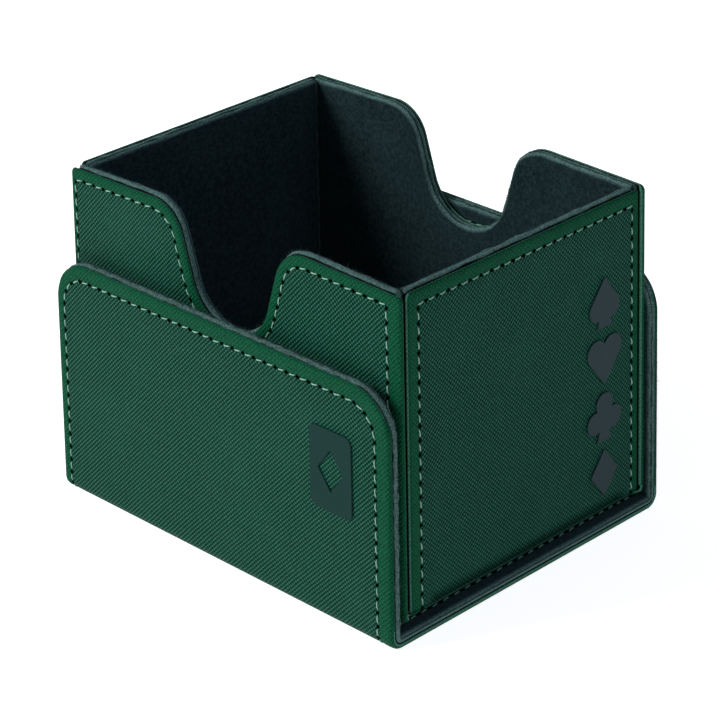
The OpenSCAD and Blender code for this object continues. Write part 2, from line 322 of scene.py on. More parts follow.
class Sheet:
    """Collects the vertices, faces and cloth data of one piece of cloth.

    cloth holds millimetres across and along the weave, and the distance in from the edge.
    """

    def __init__(self):
        self.points, self.faces, self.cloth = [], [], []

    def add(self, points, cloth, faces, outward):
        """Adds faces, all turned over when the middle one looks away from outward."""
        corners = [Vector(points[k]) for k in faces[len(faces) // 2][:3]]
        looks = (corners[1] - corners[0]).cross(corners[2] - corners[0])
        if looks.dot(outward) < 0:
            faces = [face[::-1] for face in faces]
        first = len(self.points)
        self.points.extend(points)
        self.cloth.extend(cloth)
        self.faces.extend([tuple(first + k for k in face) for face in faces])

    def panel(self, outline, edge, place, stitched, seed, seam, fuzz=0.0, foot_r=0.0, shade=0.0):
        """A panel's face with its turned edge on three sides; place puts (u, v, depth) in the row frame.

        seam gives the share of the edge's depth that this cloth covers, at each u of the outline.
        fuzz is the unevenness of the turned edge; foot_r rounds off and closes the lower edge.
        shade moves where the painted seam shade and the painted edge highlight start: sooner
        where the edge covers more than the usual share, and later when shade is negative.
        """
        outward = place(0, 0, 0) - place(0, 0, 1)
        first_ring = outline(0)
        low = first_ring[0, 1]
        share = seam(first_ring[:, 0])
        phase = stitch_phase(outline)
        points, cloth, ends = [], [], []
        shaded = shade * np.clip((share - SEAM) / SHADE_RANGE, 0, 1)
        lumps = np.random.default_rng(int(10 * seed) + 90)
        for (inset, depth), flat_inset in zip(edge, rolled_inset(edge)):
            ring, flat = outline(inset), outline(flat_inset)
            if fuzz and inset < FUZZ_INSET:
                raw = lumps.normal(0, fuzz, len(ring))
                even = np.convolve(raw, FUZZ_EVENING, "same")
                even[[0, -1]] = 0
                ring = ring + (outline(inset + 1) - ring) * even[:, None]
            u, v = ring[:, 0], ring[:, 1]
            deep = seam_depth(depth, share) + clamped(inset / RIPPLE_INSET) * ripple(u, v, low, seed)
            if stitched:
                deep = deep + pucker(phase, inset)
            points += [place(*p) for p in zip(u, v, deep)]
            # Shifted inset, so that the painted seam shade and painted edge highlight start sooner or
            # later on upright edges.
            far = flat_inset - shaded * (flat_inset < SHADE_INSET)
            cloth += [(a, b, c) for (a, b), c in zip(flat, far)]
            ends.append((u[0], u[-1], deep[0], flat_inset))
        self.add(points, cloth, grid_faces(len(edge), len(phase)), outward)
        self.field(u, v, deep, inset, place, outward, seed)
        if foot_r:
            chain = [(a, d, flat) for a, _, d, flat in ends]
            chain += [(x, 0.0, inset + FIELD_FURTHER) for x in base_points(u[0], u[-1])]
            chain += [(b, d, flat) for _, b, d, flat in reversed(ends)]
            self.foot(chain, low, foot_r, place)

    def foot(self, chain, low, radius, place):
        """Rounds off a panel under its lower edge; chain has (u, depth, inset) at the height low."""
        points, cloth = [], []
        reach = max(u for u, _, _ in chain) - FOOT_CORNER
        for turn in np.linspace(0, math.pi / 2, FOOT_RINGS):
            c, s = math.cos(turn), math.sin(turn)
            for u, depth, inset in chain:
                mid = min(reach, max(-reach, u))
                deep = FOOT_DEPTH + (depth - FOOT_DEPTH) * c
                points.append(place(mid + (u - mid) * c, low - radius * s, deep))
                cloth.append((u, low - radius * turn, inset * (1 - s)))
        down = place(0, low - 1, 0) - place(0, low, 0) + (place(0, 0, 0) - place(0, 0, 1)) * 0.5
        self.add(points, cloth, grid_faces(FOOT_RINGS, len(chain)), down)

    def fluff(self, outline, edge, place, count, seed):
        """Loose fibres that stand out of a turned lining edge."""
        chance = random.Random(seed)
        for k in range(1, FIBRE_RINGS + 1):
            (i0, d0), (i1, d1) = edge[k - 1], edge[k + 1]
            size = math.hypot(i1 - i0, d1 - d0)
            out_i, out_d = (d1 - d0) / size, -(i1 - i0) / size
            inset, depth = edge[k]
            here, there = outline(inset), outline(inset + out_i)
            for _ in range(count // FIBRE_RINGS):
                j = chance.randrange(1, len(here) - 2)
                share = chance.random()
                length = FIBRE_MORE * chance.random() ** 2 + FIBRE_SHORTEST
                a = place(*(here[j] + (here[j + 1] - here[j]) * share), depth + 0.05)
                b = place(*(there[j] + (there[j + 1] - there[j]) * share), depth + out_d)
                way = (place(*here[j + 1], depth) - place(*here[j], depth)).normalized()
                swing = Vector([chance.uniform(-FIBRE_SWING, FIBRE_SWING) for _ in range(3)])
                tip = a + (b - a + swing) * length
                half = way * FIBRE_HALF_W
                self.points += [a - half, a + half, tip]
                self.cloth += [(*here[j], FIBRE_INSET)] * 3
                n = len(self.points)
                self.faces.append((n - 3, n - 2, n - 1))

    def field(self, u, v, deep, inset, place, outward, seed):
        """Triangles over the flat middle of a panel, inside the ring (u, v)."""
        low = v[0]
        base = base_points(u[0], u[-1])[::-1]
        border = np.concatenate([np.stack([u, v], 1), np.stack([base, np.full(len(base), low)], 1)])
        deep = np.concatenate([deep, np.zeros(len(base))])
        gap = 0.55 * FIELD_GRID
        inner = [
            Vector((x, z))
            for x in np.arange(u.min() + gap, u.max() - gap, FIELD_GRID)
            for z in np.arange(low + FIELD_GRID, v.max() - gap, FIELD_GRID)
            if np.min(np.hypot(border[:, 0] - x, border[:, 1] - z)) > gap]
        n = len(border)
        loop = [(k, (k + 1) % n) for k in range(n)]
        verts, _, faces, origin, _, _ = delaunay_2d_cdt(
            [Vector(p) for p in border] + inner, loop, [], 1, 1e-4)
        points, cloth = [], []
        for vert, source in zip(verts, origin):
            on_border = [k for k in source if k < n]
            depth = deep[on_border[0]] if on_border else ripple(vert.x, vert.y, low, seed)
            points.append(place(vert.x, vert.y, float(depth)))
            cloth.append((vert.x, vert.y, inset if on_border else inset + FIELD_FURTHER))
        self.add(points, cloth, [tuple(face) for face in faces], outward)

    def make(self, name, material, tuck=0.0):
        """A mesh object with its coincident vertices welded."""
        mesh = bpy.data.meshes.new(name)
        mesh.from_pydata([leaned(p, tuck) * MM for p in self.points], [], self.faces)
        values = np.array(self.cloth, np.float32)
        mesh.attributes.new("cloth", "FLOAT_VECTOR", "POINT").data.foreach_set("vector", values.ravel())
        shape = bmesh.new()
        shape.from_mesh(mesh)
        bmesh.ops.remove_doubles(shape, verts=shape.verts, dist=0.01 * MM)
        shape.to_mesh(mesh)
        shape.free()
        mesh.polygons.foreach_set("use_smooth", [True] * len(mesh.polygons))
        mesh.materials.append(material)
        piece = bpy.data.objects.new(name, mesh)
        bpy.context.collection.objects.link(piece)
        return piece


def line_lengths(points):
    """Distance along a polyline at each of its points."""
    steps_along = np.linalg.norm(np.diff(points, axis=0), axis=1)
    return np.concatenate([[0], np.cumsum(steps_along)])


def rolled_inset(edge):
    """Inset that each ring of an edge would have with the turned cloth laid flat."""
    run = line_lengths(np.array(edge))
    return edge[-1][0] - (run[-1] - run)


def stitch_phase(outline):
    """Place along the stitch line of each point of an outline, counted in stitches."""
    run = line_lengths(outline(STITCH_INSET))
    count = round(run[-1] / STITCH_PITCH)
    return run / run[-1] * count


def pucker(phase, inset):
    """Extra depth where the thread pulls the cloth down, deepest at the needle holes."""
    from_line = np.abs(inset - STITCH_INSET)
    at_hole = (0.5 + 0.5 * np.cos(2 * np.pi * phase)) ** 3
    dent = 0.14 * np.exp(-(from_line / 0.4) ** 2)
    hollow = 0.05 * np.exp(-(from_line / 1.1) ** 2)
    return at_hole * (dent + hollow)


def ripple(u, v, low, seed):
    """Slow unevenness of the glued cloth, none where a panel runs on into its fold."""
    a, b, c = 0.071 + 0.004 * seed, 0.093 - 0.003 * seed, 0.151
    wave = np.sin(a * u + seed) * np.cos(b * v - seed) + 0.6 * np.sin(c * (u - v) + 2 * seed)
    return 0.045 * wave * np.clip((v - low) / 8, 0, 1)


# ---- cloth strips that run straight along X between two edges ----

class Track:
    """Path in (y, z) along one face of a panel, with normals that point into the panel."""

    def __init__(self, waist=0.0):
        self.spots, self.waist = [], waist

    def narrow(self, x, s, length):
        """Draws x in where a strip is narrower than at its two ends."""
        away = clamped((min(s, length - s) - WAIST_FROM) / WAIST_OVER)
        return x * (1 - self.waist * away / BOX_HALF_W)

    def line(self, a, b, normal, step):
        """Straight stretch from a to b."""
        count = steps(math.hypot(b[0] - a[0], b[1] - a[1]), step)
        for share in np.linspace(0, 1, count + 1):
            self.put(a[0] + (b[0] - a[0]) * share, a[1] + (b[1] - a[1]) * share, *normal)
        return self

    def bend(self, centre, radius, start, end, count, side=1):
        """Arc; side 1 when the panel lies towards the centre."""
        for turn in np.radians(np.linspace(start, end, count + 1)):
            c, s = math.cos(turn), math.sin(turn)
            self.put(centre[0] + radius * c, centre[1] + radius * s, -c * side, -s * side)
        return self

    def put(self, y, z, ny, nz):
        if not self.spots or math.hypot(y - self.spots[-1][0], z - self.spots[-1][1]) > 1e-6:
            self.spots.append((y, z, ny, nz))

    def arrays(self):
        path = np.array(self.spots)
        return path, line_lengths(path[:, :2])

    def place(self):
        """Function that puts (x, distance along the path, depth) in the row frame."""
        path, run = self.arrays()

        def put(x, s, depth):
            y, z, ny, nz = (np.interp(s, run, path[:, k]) for k in range(4))
            return Vector((self.narrow(x, s, run[-1]), y + ny * depth, z + nz * depth))

        return put


def columns(half_w, edge, rows):
    """Points across a strip, the flat middle's as on a wall's base.

    Each is (x, depth, inset, x with the edge laid flat, its inset).
    """
    left, right = [
        [(half_w - moved(inset, extra), depth, inset, half_w - moved(flat, extra), flat)
         for (inset, depth), flat in zip(edge, rolled_inset(edge))]
        for extra in (rows[0], rows[2])]
    left = [(-x, depth, inset, -flat_x, flat) for x, depth, inset, flat_x, flat in left]
    field = [
        (x, 0.0, STRIP_FIELD_INSET, x, STRIP_FIELD_INSET)
        for x in base_points(left[-1][0], right[-1][0])]
    return left + field + right[::-1]


def base_points(start, end):
    """Places between two ends, about a field grid apart, the ends left out."""
    count = round((end - start) / FIELD_GRID)
    return list(np.linspace(start, end, count + 1)[1:-1])


def strip(sheet, half_w, edge, track, cloth_start, stitched, rows=(0, 0, 0), end_shares=(1, 1)):
    """Adds cloth along a track to a sheet; end_shares are its seam's shares at the track's two ends."""
    path, run = track.arrays()
    shares = np.interp(run, (0, run[-1]), end_shares)
    cols = columns(half_w, edge, rows)
    count = round(run[-1] / STITCH_PITCH) if stitched else 1
    phase = run / run[-1] * count
    points, cloth = [], []
    for (y, z, ny, nz), s, p, share in zip(path, run, phase, shares):
        for x, depth, inset, flat_x, flat in cols:
            deep = seam_depth(depth, share)
            if stitched:
                deep += float(pucker(p, inset))
            points.append((track.narrow(x, s, run[-1]), y + ny * deep, z + nz * deep))
            cloth.append((flat_x, cloth_start + s, flat))
    _, _, ny, nz = path[(len(path) - 1) // 2]
    sheet.add(points, cloth, grid_faces(len(path), len(cols)), outward=Vector((0, -ny, -nz)))


# ---- stitches ----

def tangents(path):
    """Unit vectors along a polyline at each of its points."""
    step = np.gradient(path, axis=0)
    return step / np.linalg.norm(step, axis=1)[:, None]


class Thread:
    """Stitches and needle holes along one or more rows."""

    def __init__(self, seed):
        self.points, self.faces, self.hole_points, self.hole_faces = [], [], [], []
        self.random = random.Random(seed)

    def row(self, path, place):
        """Stitches along a path of (u, v); place(u, v, depth) puts a point in the row frame."""
        run = line_lengths(path)
        count = round(run[-1] / STITCH_PITCH)
        lean = tangents(path)
        pitch = run[-1] / count
        for k in range(count):
            arch = 0.02 + self.random.uniform(-0.03, 0.03)
            off = self.random.uniform(-0.04, 0.04)
            first = len(self.points)
            for r in range(THREAD_RINGS):
                t = r / (THREAD_RINGS - 1)
                s = (k + STITCH_START + STITCH_SHARE * t) * pitch
                u, v = (np.interp(s, run, path[:, a]) for a in (0, 1))
                tu, tv = (np.interp(s, run, lean[:, a]) for a in (0, 1))
                side_shift = THREAD_SLANT * (2 * t - 1) + off
                sink = abs(2 * t - 1) ** 5
                depth = arch + THREAD_SINK * sink
                thick = THREAD_R * (1 - 0.3 * sink)
                for q in range(THREAD_SIDES):
                    turn = 2 * math.pi * q / THREAD_SIDES
                    across = side_shift + thick * 1.05 * math.cos(turn)
                    self.points.append(place(
                        u - tv * across, v + tu * across, depth - thick * 0.85 * math.sin(turn)))
            for r in range(THREAD_RINGS - 1):
                ring = first + r * THREAD_SIDES
                for q in range(THREAD_SIDES):
                    a, b = ring + q, ring + (q + 1) % THREAD_SIDES
                    self.faces.append((a, b, b + THREAD_SIDES, a + THREAD_SIDES))
        for k in range(count + 1):
            u, v = (np.interp(k * pitch, run, path[:, a]) for a in (0, 1))
            tu, tv = (np.interp(k * pitch, run, lean[:, a]) for a in (0, 1))
            self.hole(u, v, tu, tv, place)

    def edge_row(self, side, track, half_w, rows):
        """Stitches along one side edge of a strip."""
        length = track.arrays()[1][-1]
        x = side * (half_w - STITCH_INSET - rows[side + 1])
        self.row(np.array([(x, 0.0), (x, length)]), track.place())

    def hole(self, u, v, tu, tv, place):
        """A needle hole at (u, v), longest along the row's direction (tu, tv)."""
        first = len(self.hole_points)
        for q in range(HOLE_SIDES):
            turn = 2 * math.pi * q / HOLE_SIDES
            a, b = HOLE_ALONG * math.cos(turn), HOLE_ACROSS * math.sin(turn)
            self.hole_points.append(place(u + tu * a - tv * b, v + tv * a + tu * b, HOLE_RIM))
        self.hole_points.append(place(u, v, HOLE_END))
        for q in range(HOLE_SIDES):
            self.hole_faces.append((first + q, first + (q + 1) % HOLE_SIDES, first + HOLE_SIDES))

    def make(self, name, thread_material, hole_material, tuck=0.0):
        """A mesh object of all stitches and their holes."""
        mesh = bpy.data.meshes.new(name)
        base = len(self.points)
        holes = [tuple(base + k for k in face) for face in self.hole_faces]
        mesh.from_pydata(
            [leaned(p, tuck) * MM for p in self.points + self.hole_points], [], self.faces + holes)
        mesh.polygons.foreach_set("use_smooth", [True] * len(mesh.polygons))
        mesh.polygons.foreach_set("material_index", [0] * len(self.faces) + [1] * len(holes))
        mesh.materials.append(thread_material)
        mesh.materials.append(hole_material)
        piece = bpy.data.objects.new(name, mesh)
        bpy.context.collection.objects.link(piece)
        return piece


# ---- materials ----

class Nodes:
    """Short way to build a node material."""

    def __init__(self, name):
        self.material = bpy.data.materials.new(name)
        self.material.use_nodes = True
        self.tree = self.material.node_tree
        self.tree.nodes.clear()
        self.shader = self.add("ShaderNodeBsdfPrincipled")
        out = self.add("ShaderNodeOutputMaterial")
        self.tree.links.new(self.shader.outputs[0], out.inputs[0])

    def add(self, kind, **settings):
        node = self.tree.nodes.new(kind)
        for key, value in settings.items():
            setattr(node, key, value)
        return node

    def feed(self, socket, value):
        if isinstance(value, bpy.types.NodeSocket):
            self.tree.links.new(value, socket)
        else:
            socket.default_value = value

    def math(self, operation, *values):
        node = self.add("ShaderNodeMath", operation=operation)
        for socket, value in zip(node.inputs, values):
            self.feed(socket, value)
        return node.outputs[0]

    def ramp(self, value, low, high):
        """0 where value is low, 1 where it is high."""
        node = self.add("ShaderNodeMapRange", interpolation_type="SMOOTHSTEP")
        for key, given in (("Value", value), ("From Min", low), ("From Max", high)):
            self.feed(node.inputs[key], given)
        return node.outputs[0]

    def mix(self, share, a, b):
        node = self.add("ShaderNodeMix", data_type="RGBA")
        self.feed(node.inputs["Factor"], share)
        self.feed(node.inputs["A"], a)
        self.feed(node.inputs["B"], b)
        return node.outputs["Result"]

    def noise(self, vector, scale, detail=2.0, rough=0.5):
        node = self.add("ShaderNodeTexNoise")
        self.feed(node.inputs["Vector"], vector)
        node.inputs["Scale"].default_value = scale
        node.inputs["Detail"].default_value = detail
        node.inputs["Roughness"].default_value = rough
        return node.outputs["Fac"]

    def scaled(self, vector, scale):
        node = self.add("ShaderNodeVectorMath", operation="MULTIPLY")
        self.feed(node.inputs[0], vector)
        node.inputs[1].default_value = scale
        return node.outputs[0]

    def bump(self, height, distance, strength=1.0, under=None):
        node = self.add("ShaderNodeBump")
        self.feed(node.inputs["Height"], height)
        node.inputs["Distance"].default_value = distance
        node.inputs["Strength"].default_value = strength
        if under is not None:
            self.feed(node.inputs["Normal"], under)
        return node.outputs[0]

    def place(self):
        """Place in the row frame at rest, in millimetres, that moves with the piece."""
        node = self.add("ShaderNodeTexCoord")
        return self.scaled(node.outputs["Object"], (1000, 1000, 1000))

    def cloth(self):
        """The cloth data: all three, then across, along and inset on their own."""
        node = self.add("ShaderNodeAttribute", attribute_name="cloth")
        split = self.add("ShaderNodeSeparateXYZ")
        self.feed(split.inputs[0], node.outputs["Vector"])
        return node.outputs["Vector"], split.outputs[0], split.outputs[1], split.outputs[2]

    def finish(self, **sockets):
        for key, value in sockets.items():
            self.feed(self.shader.inputs[key.replace("_", " ")], value)
        return self.material


def rgb(r, g, b):
    """Linear colour from display values 0-255."""
    def one(c):
        c /= 255
        return c / 12.92 if c <= 0.04045 else ((c + 0.055) / 1.055) ** 2.4
    return one(r), one(g), one(b), 1.0


WARP_PITCH = 0.545
WEFT_PITCH = 0.565


def woven_material():
    """Plain weave under a thin coating: raised crossings painted paler and gaps painted deeper green
    (partly the weave's own tone, partly painted highlight and painted shade of its relief), a smooth
    pressed edge, a painted highlight along the turned edge and painted shade in the seam.
    """
    n = Nodes("woven_cover")
    vector, across, along_weave, inset = n.cloth()
    wander = n.noise(n.scaled(vector, (0.35, 0.35, 0.35)), 1.0, 2)
    thread_a = n.noise(n.scaled(vector, (0.06, 1.4, 0)), 1.0, 1)
    thread_b = n.noise(n.scaled(vector, (1.4, 0.06, 0)), 1.0, 1)
    sway = n.math("MULTIPLY", n.math("SUBTRACT", wander, 0.5), 0.25)
    u = n.math("MULTIPLY", n.math("ADD", across, sway), math.pi / WARP_PITCH)
    v = n.math("MULTIPLY", n.math("ADD", along_weave, sway), math.pi / WEFT_PITCH)
    ridge = n.math("COSINE", n.math("SUBTRACT", u, v))
    cross_ridge = n.math("COSINE", n.math("ADD", u, v))
    crossing = n.math("ADD", n.math("MULTIPLY", ridge, 0.58), n.math("MULTIPLY", cross_ridge, 0.42))
    uneven = n.math("MULTIPLY", n.math("ADD", thread_a, thread_b), 0.18)
    raised = n.ramp(n.math("ADD", crossing, n.math("SUBTRACT", uneven, 0.18)), -0.35, 0.85)
    pressed = n.ramp(inset, 2.7, 3.1)
    fine = n.noise(vector, 3.2, 3, 0.7)
    coat = n.noise(vector, 9.0, 2, 0.7)
    relief = n.math("ADD", 0.6, n.math("MULTIPLY", pressed, 0.4))
    grit = n.math("MULTIPLY", n.ramp(fine, 0.3, 0.7), 0.3)
    weave = n.math("ADD", n.math("MULTIPLY", raised, relief), grit)
    # Gaps darker and raised crossings paler: partly the weave's own tone, partly painted shade in the
    # gaps and painted highlight on the tops of the relief.
    gap_colour = n.mix(fine, rgb(0, 34, 20), rgb(0, 44, 28))
    top_colour = n.mix(n.ramp(fine, 0.3, 0.7), rgb(32, 90, 72), rgb(52, 112, 96))
    band_tone = n.math("MULTIPLY", n.math("ADD", raised, n.ramp(fine, 0.35, 0.65)), 0.5)
    band_colour = n.mix(band_tone, rgb(0, 42, 25), rgb(16, 94, 64))
    field_colour = n.mix(raised, gap_colour, top_colour)
    wear = n.ramp(n.noise(n.place(), 0.05, 3), 0.45, 0.8)
    colour = n.mix(pressed, band_colour, field_colour)
    colour = n.mix(n.math("MULTIPLY", wear, 0.1), colour, rgb(44, 98, 80))
    # Painted highlight: a thin pale line along the turned edge, just short of the seam.
    painted_edge_highlight = n.math("MULTIPLY", n.ramp(inset, -0.4, -0.75), n.ramp(fine, 0.2, 0.5))
    colour = n.mix(n.math("MULTIPLY", painted_edge_highlight, 0.55), colour, rgb(96, 150, 130))
    # Painted shade: the cover turns nearly black deep in the seam between cover and lining.
    colour = n.mix(n.ramp(inset, -1.0, -1.3), colour, rgb(1, 8, 10))
    grain = n.bump(coat, 0.00008, 0.6)
    normal = n.bump(weave, 0.00024, 1.0, grain)
    return n.finish(
        Base_Color=colour, Roughness=n.math("ADD", 0.5, n.math("MULTIPLY", coat, 0.16)), Normal=normal,
        Specular_IOR_Level=0.03, Sheen_Weight=0.006, Sheen_Roughness=0.45, Sheen_Tint=rgb(170, 225, 225))


def lining_material():
    """Short brushed microfibre: painted shade makes it nearly black deep in the seam and along a groove
    on the roll, and a painted highlight makes the rolled rim grey.
    """
    n = Nodes("microfibre_lining")
    vector, _, _, inset = n.cloth()
    fibre = n.noise(n.scaled(vector, (3.2, 0.5, 1)), 1.0, 4, 0.65)
    fluff = n.noise(n.scaled(vector, (1, 1, 1)), 3.0, 4, 0.7)
    hand = n.ramp(n.noise(vector, 0.07, 3), 0.35, 0.75)
    nap = n.ramp(n.noise(vector, 0.9, 4, 0.7), 0.36, 0.66)
    tone = n.math("MULTIPLY", n.math("ADD", fibre, fluff), 0.5)
    colour = n.mix(n.ramp(tone, 0.3, 0.72), rgb(3, 8, 14), rgb(26, 44, 48))
    colour = n.mix(n.math("MULTIPLY", hand, 0.35), colour, rgb(30, 48, 50))
    colour = n.mix(n.math("MULTIPLY", nap, 0.4), colour, rgb(48, 70, 70))
    # Painted highlight: the rolled rim is painted pale grey, as where light grazes it.
    rim = n.math("MULTIPLY", n.ramp(inset, 1.0, 0.0), n.ramp(fluff, 0.3, 0.62))
    colour = n.mix(n.math("MULTIPLY", rim, 0.8), colour, rgb(98, 132, 126))
    # Painted shade: a dark line along the roll, for a groove that the mesh doesn't have.
    from_groove = n.math("ABSOLUTE", n.math("ADD", inset, 0.5))
    colour = n.mix(n.math("MULTIPLY", n.ramp(from_groove, 0.3, 0.12), 0.75), colour, rgb(6, 16, 20))
    # Painted shade: the lining turns nearly black deep in the seam.
    colour = n.mix(n.ramp(inset, -1.7, -2.1), colour, rgb(2, 8, 10))
    normal = n.bump(tone, 0.0004, 1.0)
    return n.finish(
        Base_Color=colour, Roughness=0.95, Normal=normal, Specular_IOR_Level=0.04,
        Sheen_Weight=0.14, Sheen_Roughness=0.4, Sheen_Tint=rgb(150, 195, 195))


def thread_material():
    """Polyester thread, slightly uneven in colour."""
    n = Nodes("mint_thread")
    place = n.place()
    fine = n.noise(place, 6.0, 2)
    colour = n.mix(fine, rgb(92, 138, 118), rgb(136, 174, 154))
    return n.finish(
        Base_Color=colour, Roughness=0.6, Normal=n.bump(fine, 0.0001, 0.6),
        Sheen_Weight=0.3, Sheen_Roughness=0.4, Specular_IOR_Level=0.35)


def plain_material(name, low, high, scale, roughness, distance, metallic=0.0, spec=0.4):
    """A finish with a slight unevenness in colour and surface."""
    n = Nodes(name)
    place = n.place()
    fine = n.noise(place, scale, 3)
    worn = n.ramp(n.noise(place, 0.12, 2), 0.4, 0.8)
    colour = n.mix(fine, rgb(*low), rgb(*high))
    colour = n.mix(n.math("MULTIPLY", worn, 0.2), colour, rgb(*high))
    return n.finish(
        Base_Color=colour, Roughness=roughness, Metallic=metallic, Specular_IOR_Level=spec,
        Normal=n.bump(fine, distance, 0.5))


WOVEN = woven_material()
LINING = lining_material()
THREAD = thread_material()
# Painted shade: needle holes are painted nearly black.
HOLE_SHADE = plain_material("needle_hole_painted_shade", (0, 2, 2), (1, 5, 4), 4.0, 0.95, 0.00002, spec=0.0)
RUBBER = plain_material("slate_rubber", (12, 40, 38), (18, 48, 44), 2.5, 0.6, 0.00003, spec=0.05)
PRINT = plain_material("slate_print", (27, 46, 48), (38, 56, 58), 2.5, 0.6, 0.00003, spec=0.1)
BOARD = plain_material("grey_board", (118, 112, 104), (140, 134, 124), 1.2, 0.9, 0.00005)
STEEL = plain_material("nickel_magnet", (150, 150, 152), (176, 176, 178), 3.0, 0.3, 0.00001, metallic=1.0)


# ---- cloth pieces ----

def whole(u):
    """Seam share of a lining, whose profile already has its full depth."""
    return np.ones(len(u))


def upright_seam(half_w, top_share, side_share, start=1.6, over=1.4):
    """Seam share that changes from a panel's top edge to its two upright edges.

    The change starts at a distance from the upright edges and is whole a stretch further out.
    """

    def seam(u):
        return top_share + (side_share - top_share) * np.clip((np.abs(u) - half_w + start) / over, 0, 1)

    return seam


def outer_side(side, out_y, lift=0.0):
    """place for a face that looks away from the middle; side -1 is the front."""
    return lambda u, v, depth: Vector((u, side * (out_y - depth), v + lift))


def inner_side(side, in_y, lift=0.0):
    """place for a face that looks at the middle."""
    return lambda u, v, depth: Vector((u, side * (in_y + depth), v + lift))


def across_side(side, x, inward, lift, shift=0.0):
    """place for a side panel's face at x; inward 1 when the panel lies towards the middle."""
    return lambda u, v, depth: Vector((side * (x - inward * depth), u + shift, v + lift))


wall_fine = {
    side: scooped_wall(BOX_HALF_W, BOX_FOLD_R, BOX_H, FINE_STEP, WALL_CORNER_R, WALL_ROWS, drop)
    for side, drop in ((-1, COVER_DROP), (1, FAR_DROP))}
wall_plain = scooped_wall(LINING_HALF_W, BOX_FOLD_R, BOX_H, PLAIN_STEP, LINING_CORNER_R)
panel_plain = round_panel(BOX_HALF_D - PANEL_T, PANEL_T, BOX_H, SIDE_CORNER_R, PLAIN_STEP)
flap_fine = round_panel(LID_HALF_W, LID_FOLD_R, FLAP_TOP, FLAP_CORNER_R, FINE_STEP, FLAP_ROWS)

INNER_D = BOX_HALF_D - PANEL_T
FOOT_Y = BOX_HALF_D - BOX_FOLD_R

# Box wrap, outside: front wall, fold, bottom, fold, back wall.
wrap_track = (
    Track(WAIST)
    .bend((-FOOT_Y, BOX_Z + BOX_FOLD_R), BOX_FOLD_R, 180, 270, BOX_FOLD_STEPS)
    .line((-FOOT_Y, BOX_Z), (FOOT_Y, BOX_Z), (0, 1), FINE_STEP)
    .bend((FOOT_Y, BOX_Z + BOX_FOLD_R), BOX_FOLD_R, 270, 360, BOX_FOLD_STEPS)
)
cover = Sheet()
for side in (-1, 1):
    cover.panel(
        wall_fine[side], COVER_EDGE, outer_side(side, BOX_HALF_D, BOX_Z), True, 1.5 + side,
        upright_seam(BOX_HALF_W, SEAM, WALL_SHARE[side]), shade=WALL_SHADE)
strip(cover, BOX_HALF_W, COVER_EDGE, wrap_track, 0.0, True, WALL_ROWS, (WALL_SHARE[-1], WALL_SHARE[1]))
box_cover = cover.make("box_cover_cloth", WOVEN)
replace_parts(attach(box_cover, "box"), "box_cover")

# Box wrap, inside.
inner_r = BOX_FOLD_R - PANEL_T
inner_track = (
    Track()
    .bend((-FOOT_Y, BOX_Z + BOX_FOLD_R), inner_r, 180, 270, BOX_LINING_FOLD_STEPS, side=-1)
    .line((-FOOT_Y, BOX_Z + PANEL_T), (FOOT_Y, BOX_Z + PANEL_T), (0, -1), FIELD_GRID)
    .bend((FOOT_Y, BOX_Z + BOX_FOLD_R), inner_r, 270, 360, BOX_LINING_FOLD_STEPS, side=-1)
)
inside_cloth = Sheet()
for side in (-1, 1):
    inward = inner_side(side, INNER_D, BOX_Z)
    inside_cloth.panel(wall_plain, LINING_EDGE, inward, False, 2.5 + side, whole, fuzz=FUZZ)
    inside_cloth.fluff(wall_plain, LINING_EDGE, inward, WALL_FIBRES, 61 + side)
strip(inside_cloth, LINING_HALF_W, LINING_EDGE, inner_track, 0.0, False)
box_lining = inside_cloth.make("box_lining_cloth", LINING)
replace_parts(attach(box_lining, "box"), "box_lining")

wrap_thread = Thread(11)
for side in (-1, 1):
    wrap_thread.row(wall_fine[side](STITCH_INSET), outer_side(side, BOX_HALF_D, BOX_Z))
    wrap_thread.edge_row(side, wrap_track, BOX_HALF_W, WALL_ROWS)
box_thread = wrap_thread.make("box_thread", THREAD, HOLE_SHADE)
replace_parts(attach(box_thread, "box"), "box_stitching")

# Side panels. Along their upright edges the cover turns in by the whole depth of its profile.
side_seam = upright_seam(SIDE_HALF_D - SEAM_GAP, SEAM, 1, start=0.8, over=0.6)
for side, word in ((-1, "left"), (1, "right")):
    outside = across_side(side, SIDE_X, 1, BOX_Z, SIDE_SHIFT)
    panel_fine = round_panel(
        SIDE_HALF_D - SEAM_GAP, SIDE_FOOT + SIDE_FOOT_R, BOX_H - (COVER_DROP if side > 0 else FAR_DROP),
        SIDE_CORNER_R, FINE_STEP, SIDE_ROWS)
    cloth = Sheet()
    cloth.panel(
        panel_fine, COVER_EDGE, outside, True, 3 + side, side_seam, foot_r=SIDE_FOOT_R, shade=SIDE_SHADE)
    piece = cloth.make(f"{word}_side_cloth", WOVEN)
    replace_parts(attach(piece, "box"), f"{word}_side_cover")
    cloth = Sheet()
    inward = across_side(side, SIDE_X - PANEL_T, -1, BOX_Z)
    cloth.panel(panel_plain, LINING_EDGE, inward, False, 5 + side, whole, fuzz=FUZZ)
    cloth.fluff(panel_plain, LINING_EDGE, inward, SIDE_FIBRES, 71 + side)
    piece = cloth.make(f"{word}_side_lining_cloth", LINING)
    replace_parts(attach(piece, "box"), f"{word}_side_lining")
    thread = Thread(21 + side)
    thread.row(panel_fine(STITCH_INSET), outside)
    piece = thread.make(f"{word}_side_thread", THREAD, HOLE_SHADE)
    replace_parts(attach(piece, "box"), f"{word}_side_stitching")

